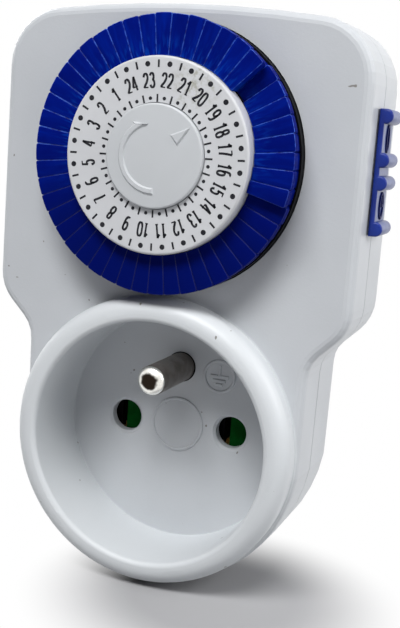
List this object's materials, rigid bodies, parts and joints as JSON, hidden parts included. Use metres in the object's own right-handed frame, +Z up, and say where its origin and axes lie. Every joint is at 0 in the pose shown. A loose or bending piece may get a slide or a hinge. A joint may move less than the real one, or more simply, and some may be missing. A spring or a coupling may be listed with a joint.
{
  "type": "plug-in timer switch",
  "caption": "Plug-in mechanical timer switch: grey housing with a 24 hour dial ringed by push tabs, an earthed pin socket in front, a round plug behind and a slide switch on one side.",
  "frame": {"origin": "centre of the plug's flat face, midway between the two plug pins", "axes": "+X to the right and +Z up as seen from the front; +Y into the wall, along the plug pins"},
  "size_m": [0.0622, 0.0653, 0.092],
  "materials": {
    "housing": "light cool grey moulded plastic, fine satin texture",
    "dial_white": "white moulded plastic with dark printed numbers and marks",
    "tab_blue": "deep blue moulded plastic, slightly glossy",
    "carrier_black": "black moulded plastic",
    "shutter_green": "dark green moulded plastic",
    "nylon": "unpainted natural nylon",
    "cover_red": "dark red phenolic",
    "nickel": "dull nickel plate over brass",
    "steel": "zinc plated steel",
    "brass": "stamped brass strip"
  },
  "bodies": {
    "root": {"front_shell": "housing", "back_shell": "housing", "plug_face": "housing", "plug_pin_live": "nickel", "plug_pin_neutral": "nickel", "plug_earth_sleeve": "brass", "plug_earth_clips": "brass", "earth_link": "brass", "socket_earth_pin": "nickel", "contact_holder": "carrier_black", "live_contact": "brass", "neutral_contact": "brass", "live_feed_bar": "brass", "live_switched_bar": "brass", "shutter_spring": "steel", "movement_plate": "nylon", "motor_can": "steel", "idler_axle": "steel", "dial_post": "steel", "pointer_hub": "housing", "microswitch_case": "carrier_black", "microswitch_cover": "cover_red", "microswitch_terminals": "brass", "lever_pin": "steel", "housing_screws": "steel", "plate_screws": "steel"},
    "dial": {"tab_carrier": "carrier_black", "number_disc": "dial_white", "dial_gear": "nylon"},
    "idler": {"idler_gear": "nylon"},
    "pinion": {"motor_pinion": "nylon"},
    "shutter": {"shutter": "shutter_green"},
    "side_switch": {"slide_switch": "tab_blue", "switch_cam": "tab_blue"},
    "lever": {"cam_lever": "nylon"},
    "button": {"microswitch_button": "nylon"},
    "tab_19_00": {"tab_19_00": "tab_blue"},
    "tab_18_30": {"tab_18_30": "tab_blue"},
    "tab_18_00": {"tab_18_00": "tab_blue"},
    "tab_17_30": {"tab_17_30": "tab_blue"},
    "tab_17_00": {"tab_17_00": "tab_blue"},
    "tab_16_30": {"tab_16_30": "tab_blue"},
    "tab_16_00": {"tab_16_00": "tab_blue"},
    "tab_15_30": {"tab_15_30": "tab_blue"},
    "tabs_noon": {"tabs_noon": "tab_blue"},
    "tabs_morning": {"tabs_morning": "tab_blue"},
    "tabs_early": {"tabs_early": "tab_blue"},
    "tabs_night": {"tabs_night": "tab_blue"},
    "tabs_evening": {"tabs_evening": "tab_blue"}
  },
  "joints": [
    {"name": "dial_spin", "type": "hinge", "parent": "root", "child": "dial", "pos_m": [0, -0.04, 0.0448], "axis": [0, 1, 0], "continuous": true},
    {"name": "idler_spin", "type": "hinge", "parent": "root", "child": "idler", "pos_m": [-0.01449, -0.031, 0.03175], "axis": [0, 1, 0], "continuous": true},
    {"name": "pinion_spin", "type": "hinge", "parent": "root", "child": "pinion", "pos_m": [-0.00839, -0.03, 0.04323], "axis": [0, 1, 0], "continuous": true},
    {"name": "tab_19_00_slide", "type": "slide", "parent": "dial", "child": "tab_19_00", "axis": [0, 1, 0], "range_m": [-0.0023, 0.0002]},
    {"name": "tab_18_30_slide", "type": "slide", "parent": "dial", "child": "tab_18_30", "axis": [0, 1, 0], "range_m": [-0.00197, 0.00053]},
    {"name": "tab_18_00_slide", "type": "slide", "parent": "dial", "child": "tab_18_00", "axis": [0, 1, 0], "range_m": [-0.00164, 0.00086]},
    {"name": "tab_17_30_slide", "type": "slide", "parent": "dial", "child": "tab_17_30", "axis": [0, 1, 0], "range_m": [-0.00131, 0.00119]},
    {"name": "tab_17_00_slide", "type": "slide", "parent": "dial", "child": "tab_17_00", "axis": [0, 1, 0], "range_m": [-0.00099, 0.00151]},
    {"name": "tab_16_30_slide", "type": "slide", "parent": "dial", "child": "tab_16_30", "axis": [0, 1, 0], "range_m": [-0.00066, 0.00184]},
    {"name": "tab_16_00_slide", "type": "slide", "parent": "dial", "child": "tab_16_00", "axis": [0, 1, 0], "range_m": [-0.00033, 0.00217]},
    {"name": "tab_15_30_slide", "type": "slide", "parent": "dial", "child": "tab_15_30", "axis": [0, 1, 0], "range_m": [0, 0.0025]},
    {"name": "tabs_noon_slide", "type": "slide", "parent": "dial", "child": "tabs_noon", "axis": [0, 1, 0], "range_m": [-0.0005, 0.0011]},
    {"name": "tabs_morning_slide", "type": "slide", "parent": "dial", "child": "tabs_morning", "axis": [0, 1, 0], "range_m": [-0.0005, 0.002]},
    {"name": "tabs_early_slide", "type": "slide", "parent": "dial", "child": "tabs_early", "axis": [0, 1, 0], "range_m": [-0.0005, 0.002]},
    {"name": "tabs_night_slide", "type": "slide", "parent": "dial", "child": "tabs_night", "axis": [0, 1, 0], "range_m": [-0.0005, 0.002]},
    {"name": "tabs_evening_slide", "type": "slide", "parent": "dial", "child": "tabs_evening", "axis": [0, 1, 0], "range_m": [0, 0.002]},
    {"name": "shutter_slide", "type": "slide", "parent": "root", "child": "shutter", "axis": [1, 0, 0], "range_m": [0, 0.0036], "stiffness_N_per_m": 40, "springref_m": -0.003, "deforming": ["shutter_spring"]},
    {"name": "side_switch_slide", "type": "slide", "parent": "root", "child": "side_switch", "axis": [0, 0, -1], "range_m": [0, 0.004]},
    {"name": "lever_pivot", "type": "hinge", "parent": "root", "child": "lever", "pos_m": [0.0216, -0.0296, 0.0255], "axis": [-1, 0, 0], "range_deg": [0, 2.8], "stiffness_Nm_per_rad": 0.002, "springref_deg": -5.73},
    {"name": "button_slide", "type": "slide", "parent": "root", "child": "button", "axis": [0, 1, 0], "range_m": [0, 0.0005]}
  ],
  "couplings": [
    {"joint": "idler_spin", "follows": "dial_spin", "ratio": -5.5},
    {"joint": "pinion_spin", "follows": "dial_spin", "ratio": 18.333},
    {"joint": "button_slide", "follows": "lever_pivot", "m_per_rad": 0.0085}
  ]
}
